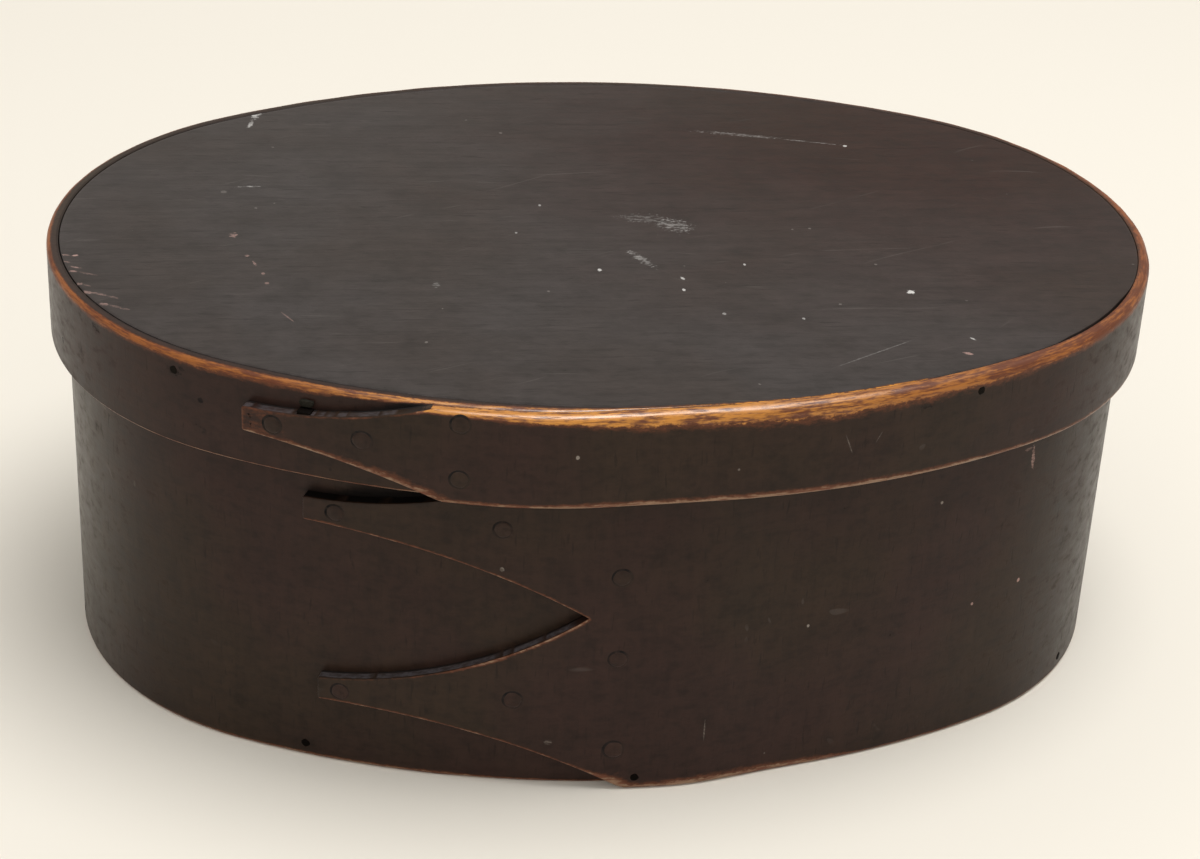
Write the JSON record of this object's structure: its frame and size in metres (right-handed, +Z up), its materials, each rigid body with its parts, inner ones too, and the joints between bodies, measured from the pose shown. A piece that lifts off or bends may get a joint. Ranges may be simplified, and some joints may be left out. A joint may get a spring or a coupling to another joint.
{
  "type": "oval bentwood box with a lift-off lid",
  "caption": "Oval bentwood box whose bent bands close in swallowtail laps held by tacks, with pegged boards and a shallow banded lid that lifts off.",
  "frame": {"origin": "centre of the bottom board's underside, on the surface that the box stands on", "axes": "+X along the long axis, +Y to the back, away from the laps, +Z up"},
  "size_m": [0.245, 0.1734, 0.0952],
  "materials": {
    "band": "old black paint over bent maple, worn to the wood along the edges",
    "board": "old black paint over a quarter-sawn pine board, faintly streaked",
    "tack": "flattened tack head under old black paint",
    "peg": "end grain of a small hardwood peg under old black paint"
  },
  "bodies": {
    "box": {"box_band": "band", "box_bottom": "board", "box_tack_1": "tack", "box_tack_2": "tack", "box_tack_3": "tack", "box_tack_4": "tack", "box_tack_5": "tack", "box_tack_6": "tack", "box_tack_7": "tack", "box_tack_8": "tack", "box_peg_1": "peg", "box_peg_2": "peg", "box_peg_3": "peg", "box_peg_4": "peg", "box_peg_5": "peg", "box_peg_6": "peg", "box_peg_7": "peg", "box_peg_8": "peg"},
    "lid": {"lid_band": "band", "lid_top": "board", "lid_tack_1": "tack", "lid_tack_2": "tack", "lid_tack_3": "tack", "lid_tack_4": "tack", "lid_peg_1": "peg", "lid_peg_2": "peg", "lid_peg_3": "peg", "lid_peg_4": "peg", "lid_peg_5": "peg", "lid_peg_6": "peg", "lid_peg_7": "peg", "lid_peg_8": "peg"}
  },
  "joints": [
    {"name": "lid_lift", "type": "slide", "parent": "box", "child": "lid", "axis": [0, 0, 1], "range_m": [0, 0.06]}
  ]
}
